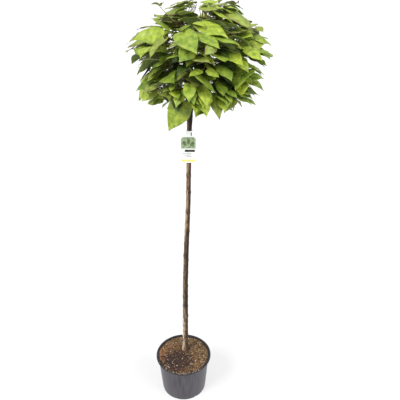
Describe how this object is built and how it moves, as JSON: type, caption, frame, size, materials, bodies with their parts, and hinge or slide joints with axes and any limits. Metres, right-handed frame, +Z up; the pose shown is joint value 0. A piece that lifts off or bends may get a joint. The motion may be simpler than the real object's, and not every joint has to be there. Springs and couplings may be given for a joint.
{
  "type": "potted umbrella catalpa",
  "caption": "Grafted standard catalpa with a bare slim stem and a rounded umbrella crown of large heart-shaped leaves, in a round nursery pot.",
  "frame": {"origin": "middle of the pot's flat underside", "axes": "+Z up along the stem, -Y the front where the hang tag faces"},
  "size_m": [0.5529, 0.5581, 1.9017],
  "materials": {
    "pot_plastic": "moulded black nursery plastic, satin, dusty on the wall",
    "soil_peat": "moist brown potting compost with bark chips",
    "stem_bark": "young grey-brown bark with pores and old bud scars",
    "bough_bark": "dark brown young bark",
    "leaf_green": "soft yellow-green leaves with raised veins",
    "tag_plastic": "white printed plastic sheet"
  },
  "bodies": {
    "root": {"pot": "pot_plastic", "soil": "soil_peat", "stem": "stem_bark", "hang_tag": "tag_plastic", "bough_low_1": "bough_bark", "bough_low_2": "bough_bark", "bough_low_3": "bough_bark", "bough_low_4": "bough_bark", "bough_low_5": "bough_bark", "bough_high_1": "bough_bark", "bough_high_2": "bough_bark", "bough_high_3": "bough_bark", "bough_high_4": "bough_bark", "bough_top_1": "bough_bark", "bough_top_2": "bough_bark", "foliage_low_1": "leaf_green", "foliage_low_2": "leaf_green", "foliage_low_3": "leaf_green", "foliage_low_4": "leaf_green", "foliage_low_5": "leaf_green", "foliage_high_1": "leaf_green", "foliage_high_2": "leaf_green", "foliage_high_3": "leaf_green", "foliage_high_4": "leaf_green", "foliage_top_1": "leaf_green", "foliage_top_2": "leaf_green"}
  },
  "joints": []
}
